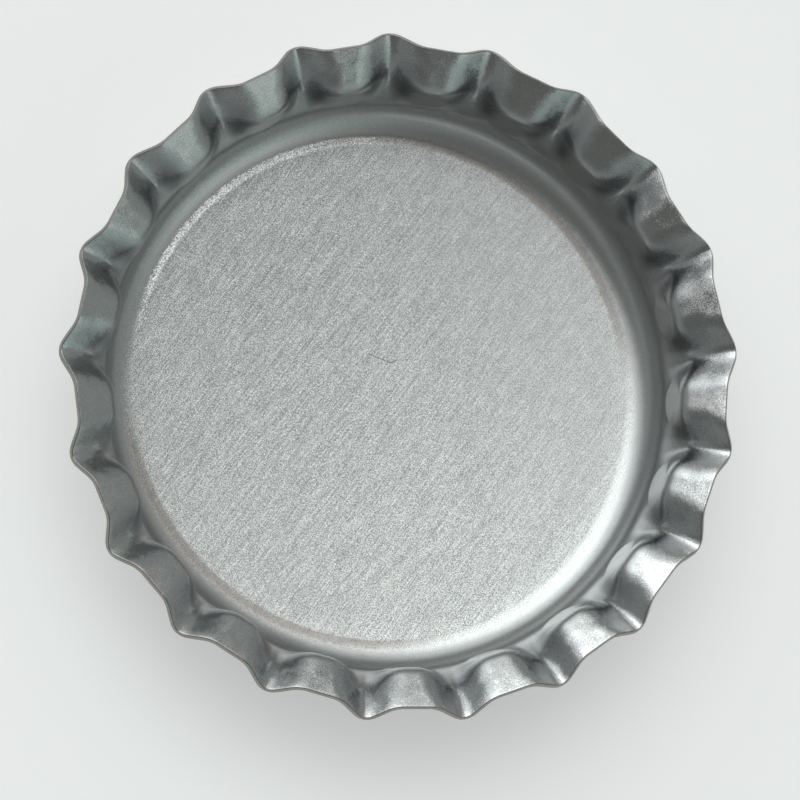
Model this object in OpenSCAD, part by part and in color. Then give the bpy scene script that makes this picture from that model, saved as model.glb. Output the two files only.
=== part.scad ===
// Crown bottle cap: one shell pressed from a disc of tinplate.
// A flat top panel turns up through a knuckle into a short wall, and the wall flares into a fluted skirt.
// The cap lies on the outer face of its panel, open side up: that face is z = 0 and the cap's axis is Z.
// All the surfaces below are the inner face of the sheet. The outer face is that face, moved out by the
// thickness of the sheet along its own normal, so the metal is equally thick everywhere.

/* [Shell] */
// Height from the outer face of the panel to the highest point of the rim
cap_height = 6.0; // [5:0.1:8]
// Diameter inside the wall
bore_dia = 26.84; // [22:0.02:36]
// Thickness of the sheet
sheet = 0.24; // [0.18:0.01:0.3]
// Inner radius of the knuckle between the panel and the wall
knuckle_r = 1.5; // [1:0.1:2]

/* [Flutes] */
// Number of flutes round the skirt
flutes = 21; // [18:1:22]
// How far the crest tips reach out past the inner face of the wall
crest_reach = 2.63; // [2.1:0.01:3.2]
// How far the edges of the lands reach out past the inner face of the wall
land_reach = 2.01; // [1.7:0.01:2.08]
// How much lower the rim is at a crest than at a land
tip_drop = 0.5; // [0.2:0.05:0.8]

/* [Lands] */
// Radius of the toe, the ridge where a land leaves the wall
toe_r = 0.7; // [0.5:0.05:0.9]
// Lean of a land just above its toe, from the cap's axis
toe_lean = 58; // [40:1:60]
// Lean of a land at the rim, from the cap's axis
rim_lean = 64; // [62:1:84]
// Depth by which the wall below each toe is pressed flat
flat_press = 0.02; // [0:0.01:0.08]

/* [Channels] */
// Width of a channel at the foot of the wall, as a share of the pitch
foot_width = 0.56; // [0.5:0.01:0.6]
// Width of a channel level with the toes, as a share of the pitch
toe_width = 0.85; // [0.65:0.01:0.92]
// Width of a channel at the rim, as a share of the pitch
rim_width = 0.72; // [0.55:0.01:0.8]
// Width of the flat floor at the foot of a channel, as a share of the pitch
floor_width = 0.26; // [0.2:0.01:0.49]
// How far below a toe its channels are at their widest
widest_below = 0.5; // [0.2:0.05:0.6]
// How far above a toe its channels start to narrow towards the rim
narrow_above = 0.55; // [0.3:0.05:0.7]
// Share of a flank that rounds into the crest, below the toes
crest_round = 0.12; // [0.1:0.01:0.4]
// Share of a flank that rounds into the crest at the rim
crest_rim_round = 0.2; // [0.1:0.01:0.4]
// Share of a flank that rounds into the land, below the toes
land_round = 0.6; // [0.5:0.01:0.6]
// Share of a flank that rounds into the land at the rim
land_rim_round = 0.5; // [0.4:0.01:0.6]

/* [Hidden] */

wall_r = bore_dia / 2;
panel_r = wall_r - knuckle_r;
foot_z = sheet + knuckle_r;
pitch = 360 / flutes;

// Crest: one arc that leaves the wall upright at its foot and ends at the tip.
// The lean at the tip and the reach of the inner edge depend on each other, so some rounds settle them.
tip_z = cap_height - tip_drop;
first_lean = 65;
settling_rounds = 20;
function settle(lean, rounds) =
    rounds == 0 ? lean
    : settle(2 * atan((crest_reach - sheet * cos(lean)) / (tip_z - foot_z)), rounds - 1);
crest_lean = settle(first_lean, settling_rounds);
crest_r = (crest_reach - sheet * cos(crest_lean)) / (1 - cos(crest_lean));
function crest_path(s) = [
    wall_r + crest_r * (1 - cos(s * crest_lean)),
    foot_z + crest_r * sin(s * crest_lean)
];

// Land: the straight wall, the arc of the toe, and the arc of the flare, which ends at the top of the rim.
land_rise_r = land_reach - sheet * cos(rim_lean) + flat_press - toe_r * (1 - cos(toe_lean));
flare_r = land_rise_r / (cos(toe_lean) - cos(rim_lean));
toe_z = cap_height - toe_r * sin(toe_lean) - flare_r * (sin(rim_lean) - sin(toe_lean));
wall_length = toe_z - foot_z;
toe_length = toe_r * toe_lean * PI / 180;
flare_length = flare_r * (rim_lean - toe_lean) * PI / 180;
land_length = wall_length + toe_length + flare_length;
// Shares of the land's path at which the toe starts and ends
toe_start = wall_length / land_length;
toe_end = (wall_length + toe_length) / land_length;
function on_toe(lean) = [
    wall_r + toe_r * (1 - cos(lean)),
    toe_z + toe_r * sin(lean)
];
function on_flare(lean) = on_toe(toe_lean) + flare_r * [
    cos(toe_lean) - cos(lean),
    sin(lean) - sin(toe_lean)
];
function land_path(s) =
    s <= toe_start ? [wall_r, foot_z + s * land_length]
    : s <= toe_end ? on_toe(toe_lean * (s - toe_start) / (toe_end - toe_start))
    : on_flare(toe_lean + (rim_lean - toe_lean) * (s - toe_end) / (1 - toe_end));

function ease(x) = let (t = min(max(x, 0), 1)) t * t * (3 - 2 * t);
function between(s, from, to, low, high) = low + (high - low) * ease((s - from) / (to - from));

// The flat below each toe is a chord of the wall. It counts where it lies inside the wall, with a small
// rounding at its sides, and it eases in up the first part of the wall.
flat_round = 0.004;
flat_top = 0.3 * toe_start;
function flat_depth(from_land, s) =
    let (gap = (wall_r - flat_press) / cos(from_land) - wall_r)
    (gap - norm([gap, flat_round])) / 2 * ease(s / flat_top);

// A channel's half width and its floor's half width, in degrees, at a share s of the way up the skirt.
// The floor is a wedge that comes to a rounded point level with the toes.
widest_s = toe_start - widest_below / land_length;
narrow_s = toe_end + narrow_above / land_length;
wedge_round = 0.12;
function half_channel(s) = pitch / 2 * (
    s < narrow_s ? between(s, 0, widest_s, foot_width, toe_width)
    : between(s, narrow_s, 1, toe_width, rim_width)
);
function half_floor(s) =
    let (left = 1 - s / toe_start)
    pitch / 2 * floor_width * (left + norm([left, wedge_round])) / 2;

// How much of the land there is at a share x of the way down a flank, from the crest's side (0) to the
// land (1): a straight slope with a parabola at each end.
function land_share(x, s) =
    let (
        crest = between(s, toe_start, 1, crest_round, crest_rim_round),
        land = between(s, toe_start, 1, land_round, land_rim_round),
        slope = 1 / (1 - crest / 2 - land / 2)
    )
    x < crest ? slope * x * x / (2 * crest)
    : x < 1 - land ? slope * (x - crest / 2)
    : 1 - slope * pow(1 - x, 2) / (2 * land);

// The inner face of the skirt, at an angle a from the crest and a share s of the way up
function skirt_point(a, s) =
    let (
        x = (abs(a) - half_floor(s)) / (half_channel(s) - half_floor(s)),
        share = land_share(min(max(x, 0), 1), s),
        land = land_path(s) + [flat_depth(pitch / 2 - abs(a), s), 0],
        rz = crest_path(s) * (1 - share) + land * share
    )
    [rz[0] * cos(a), rz[0] * sin(a), rz[1]];

// The inner face of the knuckle, at a turn t from the panel (0) to the wall (90)
function knuckle_point(a, t) =
    let (r = panel_r + knuckle_r * sin(t))
    [r * cos(a), r * sin(a), foot_z - knuckle_r * cos(t)];

// Rows of points up the inner face: the knuckle by its turn, then the skirt by its share
knuckle_turns = [0, 22.5, 45, 67.5];
wall_rows = [0, 0.35, 0.65];
toe_third = (toe_end - toe_start) / 3;
skirt_shares = concat(
    wall_rows * toe_start,
    [toe_start, toe_start + toe_third, toe_end - toe_third, toe_end],
    [narrow_s, (narrow_s + 1) / 2, 1]
);
knuckle_rows = len(knuckle_turns);
rows = knuckle_rows + len(skirt_shares);
function row_point(a, row, shift = 0) =
    row < knuckle_rows ? knuckle_point(a, knuckle_turns[row] + shift * 90)
    : skirt_point(a, skirt_shares[row - knuckle_rows] + shift);

// Columns of points across one flute: its crest, four down each flank, and the middle of the land
flank_shares = [0.22, 0.48, 0.74, 1];
flank_columns = len(flank_shares);
columns = 2 * flank_columns + 2;
function flank_angle(i, s) = half_floor(s) + flank_shares[i] * (half_channel(s) - half_floor(s));
function column_angle(column, row) =
    let (s = row < knuckle_rows ? 0 : skirt_shares[row - knuckle_rows])
    column == 0 ? 0
    : column <= flank_columns ? flank_angle(column - 1, s)
    : column == flank_columns + 1 ? pitch / 2
    : pitch - flank_angle(columns - 1 - column, s);
function from_crest(angle) = angle > pitch / 2 ? angle - pitch : angle;

// The outward normal of the sheet's outer face, from two small steps over the inner face
step = 0.001;
side_step = 0.05;
function outward(a, row) =
    row == 0 ? [0, 0, -1]
    : let (
        last = row == rows - 1,
        along = row_point(a, row, last ? 0 : step) - row_point(a, row, last ? -2 * step : -step),
        across = row_point(a + side_step, row) - row_point(a - side_step, row),
        n = cross(across, along)
    ) n / norm(n);
function turned(p, angle) = [
    p[0] * cos(angle) - p[1] * sin(angle),
    p[0] * sin(angle) + p[1] * cos(angle),
    p[2]
];
function flute_row(row, thickness) = [
    for (column = [0 : columns - 1])
        let (angle = column_angle(column, row), a = from_crest(angle))
        turned(row_point(a, row) + thickness * outward(a, row), angle - a)
];
function ring(flute_points) = [
    for (flute = [0 : flutes - 1])
        for (p = flute_points)
            turned(p, flute * pitch)
];

module cap_shell() {
    around = flutes * columns;
    rings = concat(
        [for (row = [0 : rows - 1]) ring(flute_row(row, 0))],
        [for (row = [rows - 1 : -1 : 0]) ring(flute_row(row, sheet))]
    );
    sides = [
        for (k = [0 : len(rings) - 2])
            for (j = [0 : around - 1])
                let (
                    a = k * around + j,
                    b = k * around + (j + 1) % around,
                    c = b + around,
                    d = a + around,
                    rising = j % columns < columns / 2
                )
                each rising ? [[a, b, c], [a, c, d]] : [[a, b, d], [b, c, d]]
    ];
    panel_inside = [for (j = [around - 1 : -1 : 0]) j];
    panel_outside = [for (j = [0 : around - 1]) (len(rings) - 1) * around + j];
    color([0.66, 0.67, 0.68])
        union() {
            polyhedron([for (r = rings) each r], concat(sides, [panel_inside, panel_outside]));
            // This disc lies within the panel, and makes each of its faces one plane
            cylinder(h = sheet, r = panel_r / 2, $fn = 60);
        }
}

cap_shell();
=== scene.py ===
"""A crown bottle cap, unused, lying open side up on a pale floor.

The cap is one shell of tinplate. Its inner face is worked out as an array of points: each is a function
of an angle round the cap and of a share of the way up the skirt. The outer face is the inner one, with
softer pockets, moved out along its normal by the thickness of the sheet. A narrow rounded band closes
the cut edge.
"""
import math
from collections import namedtuple

import bpy
import numpy as np
from mathutils import Matrix, Vector


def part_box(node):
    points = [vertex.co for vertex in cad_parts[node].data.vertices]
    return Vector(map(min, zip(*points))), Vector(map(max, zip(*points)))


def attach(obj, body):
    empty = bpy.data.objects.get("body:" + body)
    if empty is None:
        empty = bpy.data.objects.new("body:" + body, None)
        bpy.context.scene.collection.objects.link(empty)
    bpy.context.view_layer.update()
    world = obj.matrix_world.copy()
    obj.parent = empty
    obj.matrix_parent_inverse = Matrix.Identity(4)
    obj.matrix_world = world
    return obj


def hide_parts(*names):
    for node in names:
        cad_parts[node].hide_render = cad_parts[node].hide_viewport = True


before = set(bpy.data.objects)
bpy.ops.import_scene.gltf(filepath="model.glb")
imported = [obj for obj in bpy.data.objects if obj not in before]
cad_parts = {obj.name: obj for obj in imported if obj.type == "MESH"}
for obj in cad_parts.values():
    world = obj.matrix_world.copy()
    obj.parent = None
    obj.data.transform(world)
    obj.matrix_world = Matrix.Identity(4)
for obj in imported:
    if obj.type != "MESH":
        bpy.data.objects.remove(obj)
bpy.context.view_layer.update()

MM = 0.001

# Sizes of the pressed shell, in millimetres and degrees
CAP_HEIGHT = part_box("cap_shell")[1].z / MM
WALL_R = 13.42
SHEET = 0.24
KNUCKLE_R = 1.5
FLUTES = 21
CREST_REACH = 2.63
LAND_REACH = 2.01
TIP_DROP = 0.5
TOE_R = 0.7
TOE_LEAN = 58
RIM_LEAN = 64
FLAT_PRESS = 0.02
# How far below a toe its channels are at their widest, and how far above it they start to narrow
WIDEST_BELOW = 0.5
NARROW_ABOVE = 0.55

# The oval pocket in the wall below each toe: its slope out of the wall, its half width and half height and
# its height above the middle of the wall in millimetres, and the share of it that is its border, which is
# soft on the outside of the cap
POCKET_SLOPE = 0.15
POCKET_SIZE = (1.2, 1.15)
POCKET_HEIGHT = 0.27
POCKET_BORDER = 0.3
OUTSIDE_BORDER = 0.9

# Widths of a channel as shares of the pitch
FOOT_WIDTH = 0.56
TOE_WIDTH = 0.85
RIM_WIDTH = 0.72
FLOOR_WIDTH = 0.26
WEDGE_ROUND = 0.12

# Shares of a flank that round into the crest and into the land, up to the toes and at the rim
CREST_ROUND = (0.12, 0.2)
LAND_ROUND = (0.6, 0.5)

# The flat below each toe: the rounding of its sides, and the share of the wall over which it eases in
FLAT_ROUND = 0.004
FLAT_EASE = 0.3

# How much the flutes of a real pressing differ from each other: in angle, in reach and in height
ANGLE_DRIFT = math.radians(0.3)
REACH_DRIFT = 0.04
HEIGHT_DRIFT = 0.035
DRIFT_SEED = 11
HARMONICS = 10

# How finely the shell is divided: columns across half a flute, rings on the panel as shares of its radius,
# and rows up the knuckle, the wall, the corner of the toes and the flare, on the inner and the outer face
FLOOR_COLUMNS = 2
FLANK_COLUMNS = 11
LAND_COLUMNS = 6
PANEL_RINGS = (0.35, 0.7, 0.92)
INNER_ROWS = (13, 18, 15, 15)
OUTER_ROWS = (8, 15, 12, 11)

# The cut edge: its rows, how far it stands out, and the power that makes its half circle squarer
EDGE_ROWS = 7
EDGE_BULGE = 0.05
EDGE_POWER = 0.5

# Where the cap is seen from: a line that leans from its axis, a turn round that axis, the distance, the
# height and sideways place of the point in the middle of the view, and the width of the view there
LEAN = math.radians(14.351)
LEAN_AXIS = math.radians(120.505)
TURN = math.radians(-5.258)
DISTANCE = 200
AIM_HEIGHT = 5.28
AIM_SIDE = (-0.175, -1.11)
VIEW_WIDTH = 36.9
SENSOR_WIDTH = 36

# Parts of the skin, by how far past the panel's edge they begin or end, from none of the part to all of it
PANEL_END = (1.08, -0.12)
FLARE_START = (1.38, 2.48)
# How high above the panel's outer face a point belongs to the inner one
INSIDE_START = (SHEET * 0.4, SHEET * 0.7)

# The marks of rolling: their direction counted from X, the cells of noise a millimetre in the streaks, along
# and across, and in the specks, and how much each of the two counts
GRAIN_TURN = math.radians(47)
STREAK_CELLS = (0.6, 28, 28)
SPECK_CELLS = 24.0
STREAK_SHARE = 0.5
SPECK_SHARE = 1.5
# How much they tilt the face, off the panel and on it
MARK_TILT = (0.08, 0.24)
# They are fainter towards one azimuth: from and to which distance that way, and from and to which strength
FAINT_SIDE = 25
FAINT_FROM = (-1.0, 10.0)
FAINT_TO = (1.3, 0.7)

# The roughness and the waves that pressing left: cells of noise a millimetre, and how much they tilt the face
# on the wall and on the flare
ROUGH_CELLS = 17.0
ROUGH_TILT = (0.05, 0.35)
WAVE_CELLS = 1.9
WAVE_TILT = (0.04, 0.2)

# The scuffed ring at the panel's edge: its two borders, by how far past the edge they are, its side of the
# cap and where it begins that way, its cells of noise a millimetre, and how fast its slope grows away from
# the axis
SCUFF_BORDERS = ((-0.22, 0.03), (0.33, 0.13))
SCUFF_SIDE = 122
SCUFF_START = (7.5, 11.5)
SCUFF_CELLS = 16.0
LIP = 0.014

# How fast the panel's slope grows away from its middle, a millimetre
DISH = 0.0062

# Where painted shade lies in the creases beside each channel, and how wide it is: shares of the flank and the
# wall
CREASE_AT = (0.4, 0.8)
CREASE_WIDTH = 0.3
CREASE_HEIGHT = (0.25, 0.75)
CREASE_SHADE_STRENGTH = 0.85

# Painted shade in the corner of the panel: its two borders in the same way, its line across the cap, where it
# begins both ways along that line, and how strong it gets
CORNER_BORDERS = ((-0.17, 0.03), (0.48, 0.18))
CORNER_SIDE = 55
CORNER_START = (7.0, 10.5)
CORNER_SHADE_STRENGTH = 0.55

# Fine scratches in the panel: the middle in millimetres, the direction in degrees and half the length
SCRATCHES = [
    ((0.1, 1.5), -27, 0.75),
    ((0.75, 1.3), 20, 0.25),
    ((-2.2, 5.8), 35, 0.2),
]
# Half the width of a scratch, from none of it to all of it, and the share of its length that is at full depth
SCRATCH_WIDTH = (0.05, 0.015)
SCRATCH_FULL = 0.6

# Colours of the metal, and how rough it is on the wall, the flare and the panel
PIT_COLOUR = (0.49, 0.5, 0.51, 1)
METAL_COLOUR = (0.67, 0.67, 0.66, 1)
SCRATCH_COLOUR = (0.38, 0.38, 0.38, 1)
# The next two colours are painted shade, in the creases and in the corner of the panel
CREASE_SHADE_COLOUR = (0.17, 0.17, 0.19, 1)
CORNER_SHADE_COLOUR = (0.24, 0.2, 0.17, 1)
CUT_COLOUR = (0.29, 0.27, 0.25, 1)
WALL_ROUGHNESS = 0.3
FLARE_ROUGHNESS = 0.2
PANEL_ROUGHNESS = 0.25
# The strength of a mark at which it is a pit, and at which it is clean metal
PIT_MARKS = (-0.35, 0.25)

# The floor: half its side in metres, how far below the panel it lies in millimetres, its colour, how much
# brighter it looks to the camera and in the metal, and the colour of what is behind it
FLOOR_SIDE = 2.0
FLOOR_GAP = 0.01
FLOOR_COLOUR = (0.8, 0.8, 0.8, 1)
FLOOR_LIFT = 0.32
BACKGROUND = (0.9, 0.9, 0.9, 1)

# The light: the dim room, then each glow's colour, azimuth and elevation, and where it stops being even
# and where it ends, in degrees from its middle. A glow below zero takes light away
ROOM_LIGHT = (0.268, 0.293, 0.287)
GLOWS = [
    ((0.92, 1.0, 0.98), (109, 57), 16, 29),
    ((0.62, 0.63, 0.625), (112, 53), 30, 52),
    ((0.29, 0.32, 0.34), (128, 31), 0, 24),
    ((-0.18, -0.2, -0.18), (150, 35), 0, 24),
    ((0.155, 0.115, 0.1), (40, 44), 5, 25),
    ((0.25, 0.245, 0.24), (325, 45), 4, 24),
    ((0.11, 0.17, 0.155), (315, 21), 6, 36),
    ((-0.13, -0.15, -0.15), (230, 62), 16, 56),
]

pitch = 2 * math.pi / FLUTES
foot_z = SHEET + KNUCKLE_R
panel_r = WALL_R - KNUCKLE_R
toe_lean = math.radians(TOE_LEAN)
rim_lean = math.radians(RIM_LEAN)


def settle_crest():
    """Lean of a crest at its tip and the radius of its arc, which starts upright at the foot.

    The lean and the reach of the inner edge depend on each other, so a few rounds settle them."""
    rise = CAP_HEIGHT - TIP_DROP - foot_z
    lean = 0
    rounds = 20
    for _ in range(rounds):
        lean = 2 * math.atan((CREST_REACH - SHEET * math.cos(lean)) / rise)
    return lean, (CREST_REACH - SHEET * math.cos(lean)) / (1 - math.cos(lean))


crest_lean, crest_r = settle_crest()
land_rise = LAND_REACH - SHEET * math.cos(rim_lean) + FLAT_PRESS - TOE_R * (1 - math.cos(toe_lean))
flare_r = land_rise / (math.cos(toe_lean) - math.cos(rim_lean))
toe_z = CAP_HEIGHT - TOE_R * math.sin(toe_lean) - flare_r * (math.sin(rim_lean) - math.sin(toe_lean))
wall_length = toe_z - foot_z
toe_length = TOE_R * toe_lean
land_length = wall_length + toe_length + flare_r * (rim_lean - toe_lean)
toe_start = wall_length / land_length
toe_end = (wall_length + toe_length) / land_length
widest_s = toe_start - WIDEST_BELOW / land_length
narrow_s = toe_end + NARROW_ABOVE / land_length


def ease(x):
    """A smooth step: 0 below 0, 1 above 1, and 3x^2 - 2x^3 between."""
    t = np.clip(x, 0, 1)
    return t * t * (3 - 2 * t)


def between(s, start, end, low, high):
    """Eases from low to high as s goes from start to end."""
    return low + (high - low) * ease((s - start) / (end - start))


def crest_path(s):
    """Radius and height along the middle of a channel: one arc from upright to the tip."""
    lean = s * crest_lean
    return WALL_R + crest_r * (1 - np.cos(lean)), foot_z + crest_r * np.sin(lean)


def pocket(from_land, s, border):
    """How far the pocket stands off the wall: a slope in height that fades out at an oval border."""
    height = s * land_length - wall_length / 2 - POCKET_HEIGHT
    oval = np.hypot(from_land * WALL_R / POCKET_SIZE[0], height / POCKET_SIZE[1])
    return POCKET_SLOPE * height * ease((1 - oval) / border)


def land_path(from_land, s, border):
    """Radius and height up a land: the wall with its pocket, the arc of the toe, the arc of the flare.

    Below each toe the wall is pressed flat, so there its radius is that of a chord where the chord is the
    smaller of the two. The flat eases in from the foot of the wall."""
    toe = toe_lean * np.clip((s - toe_start) / (toe_end - toe_start), 0, 1)
    flare = toe_lean + (rim_lean - toe_lean) * np.clip((s - toe_end) / (1 - toe_end), 0, None)
    gap = (WALL_R - FLAT_PRESS) / np.cos(from_land) - WALL_R
    flat = (gap - np.hypot(gap, FLAT_ROUND)) / 2 * ease(s / (FLAT_EASE * toe_start))
    radius = WALL_R + flat + pocket(from_land, s, border) + TOE_R * (1 - np.cos(toe))
    radius = radius + flare_r * (math.cos(toe_lean) - np.cos(flare))
    height = foot_z + np.minimum(s, toe_start) * land_length
    return radius, height + TOE_R * np.sin(toe) + flare_r * (np.sin(flare) - math.sin(toe_lean))


def half_channel(s):
    """Half the angle of a channel: it widens up the wall, and narrows again towards the rim."""
    low = between(s, 0, widest_s, FOOT_WIDTH, TOE_WIDTH)
    high = between(s, narrow_s, 1, TOE_WIDTH, RIM_WIDTH)
    return pitch / 2 * np.where(s < narrow_s, low, high)


def half_floor(s):
    """Half the angle of a channel's floor: a wedge that comes to a rounded point at the toes."""
    left = 1 - s / toe_start
    return pitch / 2 * FLOOR_WIDTH * (left + np.hypot(left, WEDGE_ROUND)) / 2


def land_share(x, s):
    """Share of the land at x of the way down a flank: a straight slope with a parabola at each end."""
    crest = between(s, toe_start, 1, *CREST_ROUND)
    land = between(s, toe_start, 1, *LAND_ROUND)
    slope = 1 / (1 - crest / 2 - land / 2)
    x = np.clip(x, 0, 1)
    low = slope * x * x / (2 * crest)
    middle = slope * (x - crest / 2)
    high = 1 - slope * (1 - x) ** 2 / (2 * land)
    return np.where(x < crest, low, np.where(x < 1 - land, middle, high))


def drift(angle, size, seed):
    """A smooth random wave round the cap, whose usual height is size: a sum of harmonics of random phase."""
    draw = np.random.default_rng(seed)
    wave = np.zeros_like(angle)
    for harmonic in range(1, HARMONICS + 1):
        wave += np.sin(harmonic * angle + draw.uniform(0, 2 * math.pi))
    return size * wave / math.sqrt(HARMONICS / 2)


def flank_place(angle, s):
    """The angle from the nearest crest, and how far down the flank that is: 0 at the floor, 1 at the land."""
    from_crest = np.abs((angle + pitch / 2) % pitch - pitch / 2)
    return from_crest, (from_crest - half_floor(s)) / (half_channel(s) - half_floor(s))


def skirt_point(angle, s, border):
    """The inner face at an angle round the cap and a share s of the way up the skirt.

    Across a flute the point goes from the crest's path to the land's path, both taken at the same share,
    and small drifts make each flute its own."""
    from_crest, down_flank = flank_place(angle, s)
    land = land_share(down_flank, s)
    crest_radius, crest_height = crest_path(s)
    land_radius, land_height = land_path(pitch / 2 - from_crest, s, border)
    radius = crest_radius * (1 - land) + land_radius * land
    height = crest_height * (1 - land) + land_height * land
    grown = np.clip(s, 0, 1) ** 2
    radius = radius + drift(angle, REACH_DRIFT, DRIFT_SEED) * grown
    height = height + drift(angle, HEIGHT_DRIFT, DRIFT_SEED + 1) * grown
    turned = angle + drift(angle, ANGLE_DRIFT, DRIFT_SEED + 2) * grown
    return np.stack([radius * np.cos(turned), radius * np.sin(turned), height], -1)


def inner_point(angle, v, border=POCKET_BORDER):
    """The inner face: v from -1 to 0 goes round the knuckle, and from 0 to 1 up the skirt.

    The border is that of the pockets."""
    turn = math.pi / 2 * (1 + np.clip(v, -1, 0))
    radius = panel_r + KNUCKLE_R * np.sin(turn)
    height = foot_z - KNUCKLE_R * np.cos(turn)
    knuckle = np.stack([radius * np.cos(angle), radius * np.sin(angle), height], -1)
    return np.where((v < 0)[..., None], knuckle, skirt_point(angle, np.maximum(v, 0), border))


def unit(vectors):
    return vectors / np.linalg.norm(vectors, axis=-1, keepdims=True)


def face_directions(angle, v, border=POCKET_BORDER):
    """The sheet's outward normal and its direction towards the rim, from two small steps."""
    step = 1e-4
    across = inner_point(angle + step, v, border) - inner_point(angle - step, v, border)
    low = np.maximum(v - step, -1)
    along = inner_point(angle, v + step, border) - inner_point(angle, low, border)
    return unit(np.cross(across, along)), unit(along)


def crease_shade(angle, v):
    """How far into a crease a point lies, 0 to 1, which is how strong the painted shade is there: a bell
    across the flank times a bell up the wall.

    The bell up the wall is taller above its middle than below it."""
    s = np.maximum(v, 0)
    _, down_flank = flank_place(angle, s)
    across = (down_flank - CREASE_AT[0]) / CREASE_WIDTH
    up = s / toe_start - CREASE_AT[1]
    up = up / np.where(up < 0, CREASE_HEIGHT[0], CREASE_HEIGHT[1])
    return np.exp(-across ** 2 - up ** 2)


def flute_angles(v):
    """Angles of the columns of one row: even steps across the floor, the flanks and the land of a flute.

    Round the knuckle they slide until all the steps are even."""
    s = max(v, 0)
    flank_start = FLOOR_COLUMNS
    land_start = FLOOR_COLUMNS + FLANK_COLUMNS
    half = FLOOR_COLUMNS + FLANK_COLUMNS + LAND_COLUMNS
    column = np.arange(-half, half)
    step = np.abs(column)
    floor = half_floor(s) * np.clip(step / FLOOR_COLUMNS, 0, 1)
    flank = (half_channel(s) - half_floor(s)) * np.clip((step - flank_start) / FLANK_COLUMNS, 0, 1)
    land = (pitch / 2 - half_channel(s)) * np.clip((step - land_start) / LAND_COLUMNS, 0, 1)
    even = pitch / 2 * step / half
    one = np.sign(column) * between(v, 0, -1, floor + flank + land, even)
    return (one + pitch * np.arange(FLUTES)[:, None]).ravel()


def row_values(knuckle, wall, corner, flare):
    """Rows from the panel to the rim, closest together round the corners of the toes."""
    parts = [
        np.linspace(-1, 0, knuckle, endpoint=False),
        np.linspace(0, widest_s, wall, endpoint=False),
        np.linspace(widest_s, narrow_s, corner, endpoint=False),
        np.linspace(narrow_s, 1 - EDGE_BULGE / land_length, flare),
    ]
    return np.concatenate(parts)


def face_grid(rows):
    """Angles and row values as two arrays of the same shape."""
    angle = np.stack([flute_angles(v) for v in rows])
    return angle, np.broadcast_to(rows[:, None], angle.shape)


def shell_rings():
    """Rings of points from the middle of the inner face, over the rim, to the middle of the outer face.

    With them come the share of cut edge and of painted crease shade at each point."""
    angle, v = face_grid(row_values(*INNER_ROWS))
    inner = inner_point(angle, v)
    back_angle, back_v = face_grid(row_values(*OUTER_ROWS))
    normal, _ = face_directions(back_angle, back_v, OUTSIDE_BORDER)
    normal[0] = (0, 0, -1)
    outer = (inner_point(back_angle, back_v, OUTSIDE_BORDER) + SHEET * normal)[::-1]

    rim_angle, rim_v = angle[-1], v[-1]
    rim_normal, rim_out = face_directions(rim_angle, rim_v)
    middle = inner[-1] + rim_normal * SHEET / 2
    turns = np.linspace(0, math.pi, EDGE_ROWS + 2)[1:-1, None, None]
    side = -np.sign(np.cos(turns)) * np.abs(np.cos(turns)) ** EDGE_POWER
    out = np.sin(turns) ** EDGE_POWER
    edge = middle + rim_normal * side * SHEET / 2 + rim_out * out * EDGE_BULGE

    shares = np.array(PANEL_RINGS)[:, None, None]
    flat = np.array([1.0, 1.0, 0.0])
    inner_panel = inner[0] * flat * shares + (0, 0, SHEET)
    outer_panel = outer[-1] * flat * shares[::-1]
    rings = np.concatenate([inner_panel, inner, edge, outer, outer_panel])

    edge_start = len(inner_panel) + len(inner)
    cut = np.zeros(rings.shape[:2])
    cut[edge_start:edge_start + EDGE_ROWS] = 1
    # Painted shade in the creases beside each channel, on the inner face of the skirt
    crease_shading = np.zeros(rings.shape[:2])
    crease_shading[len(inner_panel):edge_start] = crease_shade(angle, v)
    return rings, cut, crease_shading


def ring_faces(rings, columns):
    """Quads between rings of points, and a fan of triangles at each end."""
    first = np.arange(rings - 1)[:, None] * columns
    here = first + np.arange(columns)
    beside = first + (np.arange(columns) + 1) % columns
    quads = np.stack([here, beside, beside + columns, here + columns], -1).reshape(-1, 4)
    start, end = rings * columns, rings * columns + 1
    last = (rings - 1) * columns
    around = np.arange(columns)
    onward = (around + 1) % columns
    opening = np.stack([np.full(columns, start), onward, around], -1)
    closing = np.stack([np.full(columns, end), last + around, last + onward], -1)
    return quads.tolist() + opening.tolist() + closing.tolist()


def make_shell(material):
    """The shell as one closed mesh, with the shares of cut edge and of painted crease shade as attributes."""
    rings, cut, crease_shading = shell_rings()
    count, columns, _ = rings.shape
    centres = np.array([[0, 0, SHEET], [0, 0, 0]])
    points = np.concatenate([rings.reshape(-1, 3), centres]) * MM
    mesh = bpy.data.meshes.new("cap")
    mesh.from_pydata(points.tolist(), [], ring_faces(count, columns))
    mesh.polygons.foreach_set("use_smooth", np.ones(len(mesh.polygons), bool))
    for name, values in (("cut_edge", cut), ("crease_shade", crease_shading)):
        attribute = mesh.attributes.new(name, "FLOAT", "POINT")
        attribute.data.foreach_set("value", np.append(values, [0, 0]).astype(np.float32))
    mesh.materials.append(material)
    mesh.update()
    shell = bpy.data.objects.new("cap", mesh)
    bpy.context.scene.collection.objects.link(shell)
    return shell


def add(tree, kind, inputs=None, **settings):
    """A shader node of that kind, with its settings, and values or links on its inputs."""
    made = tree.nodes.new("ShaderNode" + kind)
    for name, value in settings.items():
        setattr(made, name, value)
    for name, value in (inputs or {}).items():
        if isinstance(value, bpy.types.NodeSocket):
            tree.links.new(value, made.inputs[name])
        else:
            made.inputs[name].default_value = value
    return made


def maths(tree, operation, first, second=0.0):
    return add(tree, "Math", {0: first, 1: second}, operation=operation).outputs[0]


def product(tree, first, *others):
    """All the values multiplied."""
    for other in others:
        first = maths(tree, "MULTIPLY", first, other)
    return first


def vector_maths(tree, operation, first, second=(0, 0, 0)):
    """A vector, or the value that a length or a dot product gives."""
    made = add(tree, "VectorMath", {0: first, 1: second}, operation=operation)
    return made.outputs["Value" if operation in ("LENGTH", "DOT_PRODUCT") else "Vector"]


def scaled(tree, vector, scale):
    return add(tree, "VectorMath", {0: vector, "Scale": scale}, operation="SCALE").outputs[0]


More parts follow.
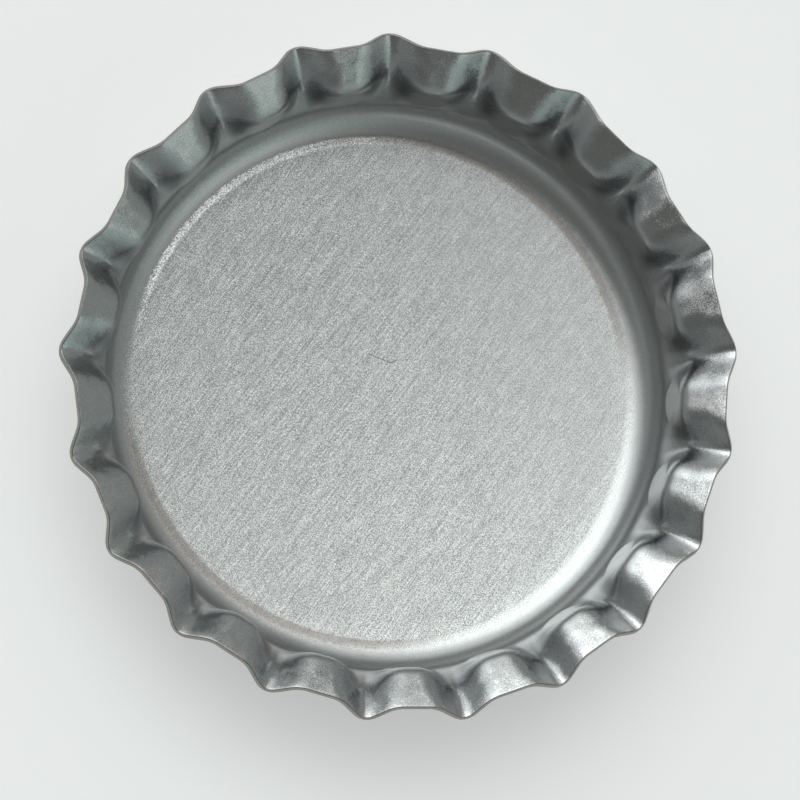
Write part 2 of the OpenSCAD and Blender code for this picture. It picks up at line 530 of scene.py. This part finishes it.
def sum_of(tree, first, *others):
    """All the vectors added up."""
    for other in others:
        first = vector_maths(tree, "ADD", first, other)
    return first


def turned_back(tree, vector, angle):
    """The vector as seen along a line at that angle from X."""
    return add(tree, "VectorRotate", {"Vector": vector, "Angle": -angle}, rotation_type="Z_AXIS").outputs[0]


def ramp(tree, value, low, high, to_low=0.0, to_high=1.0):
    """Goes smoothly from to_low to to_high as the value goes from low to high."""
    inputs = {"Value": value, "From Min": low, "From Max": high, "To Min": to_low, "To Max": to_high}
    return add(tree, "MapRange", inputs, interpolation_type="SMOOTHSTEP").outputs["Result"]


def blend(tree, share, low, high):
    """Goes smoothly from low to high as the share goes from 0 to 1."""
    return ramp(tree, share, 0.0, 1.0, low, high)


def mixed(tree, share, first, second):
    """The first colour where the share is 0 and the second where it is 1."""
    return add(tree, "MixRGB", {"Fac": share, "Color1": first, "Color2": second}).outputs[0]


def noise(tree, vector, cells):
    """Smooth noise about zero."""
    made = add(tree, "TexNoise", {"Vector": vector, "Scale": cells, "Detail": 1.0, "Roughness": 0.6})
    return maths(tree, "SUBTRACT", made.outputs["Fac"], 0.5)


def bumps(tree, in_mm, cells, detail, strength):
    """Smooth random tilts about none."""
    made = add(tree, "TexNoise", {"Vector": in_mm, "Scale": cells, "Detail": detail}).outputs["Color"]
    return scaled(tree, vector_maths(tree, "SUBTRACT", made, (0.5, 0.5, 0.5)), strength)


def towards(azimuth, elevation=0):
    """The unit vector at that azimuth, counted from the right of the view, and elevation in degrees."""
    a = math.radians(azimuth) + TURN
    e = math.radians(elevation)
    return (math.cos(e) * math.cos(a), math.cos(e) * math.sin(a), math.sin(e))


def emptied(owner):
    """The node tree of a new material or world, with nothing in it."""
    owner.use_nodes = True
    owner.node_tree.nodes.clear()
    return owner.node_tree


# A point's place in millimetres, the same without its height, how far past the panel's edge it is, and its
# shares of panel, of flare and of the inner face of the panel
Places = namedtuple("Places", "in_mm flat past_edge on_panel on_flare inside")


def find_places(tree):
    """Nodes that tell where on the cap a point is."""
    in_mm = scaled(tree, add(tree, "TexCoord").outputs["Object"], 1 / MM)
    flat = vector_maths(tree, "MULTIPLY", in_mm, (1, 1, 0))
    past_edge = maths(tree, "SUBTRACT", vector_maths(tree, "LENGTH", flat), panel_r)
    return Places(
        in_mm=in_mm,
        flat=flat,
        past_edge=past_edge,
        on_panel=ramp(tree, past_edge, *PANEL_END),
        on_flare=ramp(tree, past_edge, *FLARE_START),
        inside=ramp(tree, add(tree, "SeparateXYZ", {0: in_mm}).outputs["Z"], *INSIDE_START),
    )


def distance_towards(tree, places, azimuth):
    """How far a point lies that way from the cap's axis."""
    return vector_maths(tree, "DOT_PRODUCT", places.in_mm, towards(azimuth))


def inner_ring(tree, places, borders):
    """One in a ring round the inner face, between two soft borders."""
    start, end = borders
    ring = product(tree, ramp(tree, places.past_edge, *start), ramp(tree, places.past_edge, *end))
    return product(tree, ring, places.inside)


def rolling_marks(tree, places):
    """Streaks along the way the sheet was rolled, and specks, both fainter towards one side."""
    along_grain = turned_back(tree, places.in_mm, GRAIN_TURN)
    streaks = noise(tree, vector_maths(tree, "MULTIPLY", along_grain, STREAK_CELLS), 1.0)
    specks = noise(tree, places.in_mm, SPECK_CELLS)
    marks = maths(tree, "ADD", product(tree, streaks, STREAK_SHARE), product(tree, specks, SPECK_SHARE))
    faint = distance_towards(tree, places, FAINT_SIDE)
    return product(tree, marks, ramp(tree, faint, *FAINT_FROM, *FAINT_TO))


def skin_normal(tree, places, marks):
    """The face's normal, tilted by the marks of rolling and by what pressing has left."""
    across_grain = (-math.sin(GRAIN_TURN), math.cos(GRAIN_TURN), 0)
    mark_tilt = product(tree, marks, blend(tree, places.on_panel, *MARK_TILT))
    rough = bumps(tree, places.in_mm, ROUGH_CELLS, 1.0, blend(tree, places.on_flare, *ROUGH_TILT))
    waves = bumps(tree, places.in_mm, WAVE_CELLS, 2.0, blend(tree, places.on_flare, *WAVE_TILT))
    # The punch stood a little askew, and has scuffed a thin ring at one side of the panel's edge
    askew = ramp(tree, distance_towards(tree, places, SCUFF_SIDE), *SCUFF_START)
    on_ring = product(tree, inner_ring(tree, places, SCUFF_BORDERS), askew)
    scuffs = bumps(tree, places.in_mm, SCUFF_CELLS, 1.0, on_ring)
    lip = scaled(tree, places.flat, product(tree, on_ring, LIP))
    # The panel's normal leans as if the panel were very slightly dished
    dish = scaled(tree, places.flat, product(tree, places.on_panel, -DISH))
    face = add(tree, "NewGeometry").outputs["Normal"]
    tilted = sum_of(tree, face, dish, scaled(tree, across_grain, mark_tilt), rough, waves, scuffs, lip)
    return vector_maths(tree, "NORMALIZE", tilted)


def scratch(tree, places, middle, angle, half_length):
    """One along a fine line in the panel's inner face, and nothing elsewhere."""
    moved = vector_maths(tree, "SUBTRACT", places.in_mm, (*middle, SHEET))
    line = add(tree, "SeparateXYZ", {0: turned_back(tree, moved, math.radians(angle))})
    from_middle = maths(tree, "ABSOLUTE", line.outputs["X"])
    beside = maths(tree, "ABSOLUTE", line.outputs["Y"])
    along = ramp(tree, from_middle, half_length, half_length * SCRATCH_FULL)
    return product(tree, along, ramp(tree, beside, *SCRATCH_WIDTH), places.inside)


def skin_colour(tree, places, marks):
    """Pale metal with darker pits along the grain, scratches, painted shade in the creases and in the corner
    of the panel, and a brown edge where it is cut.
    """
    metal = mixed(tree, ramp(tree, marks, *PIT_MARKS), PIT_COLOUR, METAL_COLOUR)
    for middle, angle, half_length in SCRATCHES:
        worn = scratch(tree, places, middle, angle, half_length)
        metal = mixed(tree, worn, metal, SCRATCH_COLOUR)
    # Painted shade darkens the creases beside each channel
    crease_shade_share = add(tree, "Attribute", attribute_name="crease_shade").outputs["Fac"]
    metal = mixed(tree, product(tree, crease_shade_share, CREASE_SHADE_STRENGTH), metal, CREASE_SHADE_COLOUR)
    # The corner of the panel is darkened by painted shade at two opposite sides
    both_ways = maths(tree, "ABSOLUTE", distance_towards(tree, places, CORNER_SIDE))
    strength = ramp(tree, both_ways, *CORNER_START, 0.0, CORNER_SHADE_STRENGTH)
    corner_shade = product(tree, inner_ring(tree, places, CORNER_BORDERS), strength)
    metal = mixed(tree, corner_shade, metal, CORNER_SHADE_COLOUR)
    cut = add(tree, "Attribute", attribute_name="cut_edge").outputs["Fac"]
    return mixed(tree, cut, metal, CUT_COLOUR)


def tinplate():
    """Bare tinplate: rolled grain on the panel, and a burnished, finely rough skirt, with painted shade in
    its creases and in the corner of the panel.
    """
    material = bpy.data.materials.new("tinplate")
    tree = emptied(material)
    places = find_places(tree)
    marks = rolling_marks(tree, places)
    skirt_roughness = blend(tree, places.on_flare, WALL_ROUGHNESS, FLARE_ROUGHNESS)
    shader = add(tree, "BsdfPrincipled", {
        "Base Color": skin_colour(tree, places, marks),
        "Metallic": 1.0,
        "Roughness": blend(tree, places.on_panel, skirt_roughness, PANEL_ROUGHNESS),
        "Normal": skin_normal(tree, places, marks),
    })
    add(tree, "OutputMaterial", {"Surface": shader.outputs[0]})
    return material


def floor_material():
    """Matt and pale. It takes the cap's shadow, and looks nearly white to the camera and in the metal."""
    material = bpy.data.materials.new("floor")
    tree = emptied(material)
    seen = add(tree, "LightPath")
    matt = add(tree, "BsdfDiffuse", {"Color": FLOOR_COLOUR})
    either = maths(tree, "ADD", seen.outputs["Is Camera Ray"], seen.outputs["Is Glossy Ray"])
    lift = add(tree, "Emission", {"Color": (1, 1, 1, 1), "Strength": product(tree, either, FLOOR_LIFT)})
    both = add(tree, "AddShader", {0: matt.outputs[0], 1: lift.outputs[0]})
    add(tree, "OutputMaterial", {"Surface": both.outputs[0]})
    return material


def add_floor():
    """One square, a hair below the panel, so that no face of the cap lies in its plane."""
    side = FLOOR_SIDE
    low = -FLOOR_GAP * MM
    mesh = bpy.data.meshes.new("floor")
    corners = [(-side, -side, low), (side, -side, low), (side, side, low), (-side, side, low)]
    mesh.from_pydata(corners, [], [(0, 1, 2, 3)])
    mesh.materials.append(floor_material())
    floor = bpy.data.objects.new("floor", mesh)
    bpy.context.scene.collection.objects.link(floor)


def light_world():
    """A soft studio: a broad window of light behind the cap, small glows round it, and a darker camera side.

    Each glow is even out to its first angle from its middle and fades to nothing at its second."""
    world = bpy.data.worlds.new("studio")
    bpy.context.scene.world = world
    tree = emptied(world)
    direction = add(tree, "TexCoord").outputs["Generated"]

    total = ROOM_LIGHT
    for colour, (azimuth, elevation), full, none in GLOWS:
        nearness = vector_maths(tree, "DOT_PRODUCT", direction, towards(azimuth, elevation))
        glow = ramp(tree, nearness, math.cos(math.radians(none)), math.cos(math.radians(full)))
        total = sum_of(tree, total, scaled(tree, colour, glow))
    lit = add(tree, "Background", {"Color": total})
    plain = add(tree, "Background", {"Color": BACKGROUND})
    seen = add(tree, "LightPath").outputs["Is Camera Ray"]
    both = add(tree, "MixShader", {0: seen, 1: lit.outputs[0], 2: plain.outputs[0]})
    add(tree, "OutputWorld", {"Surface": both.outputs[0]})


def add_camera():
    """The camera stands DISTANCE off along a line that leans from the cap's axis."""
    axis = Vector((math.cos(LEAN_AXIS), math.sin(LEAN_AXIS), 0))
    turned = Matrix.Rotation(TURN, 4, "Z") @ Matrix.Rotation(-LEAN, 4, axis)
    offset = turned @ Vector((*AIM_SIDE, DISTANCE))
    data = bpy.data.cameras.new("camera")
    data.sensor_width = SENSOR_WIDTH
    data.lens = SENSOR_WIDTH * DISTANCE / VIEW_WIDTH
    data.clip_start = DISTANCE / 20 * MM
    camera = bpy.data.objects.new("camera", data)
    camera.matrix_world = Matrix.Translation((Vector((0, 0, AIM_HEIGHT)) + offset) * MM) @ turned
    bpy.context.scene.collection.objects.link(camera)
    bpy.context.scene.camera = camera


cap = make_shell(tinplate())
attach(cap, "root")
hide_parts("cap_shell")
add_floor()
light_world()
add_camera()
bpy.context.scene.view_settings.view_transform = "Standard"
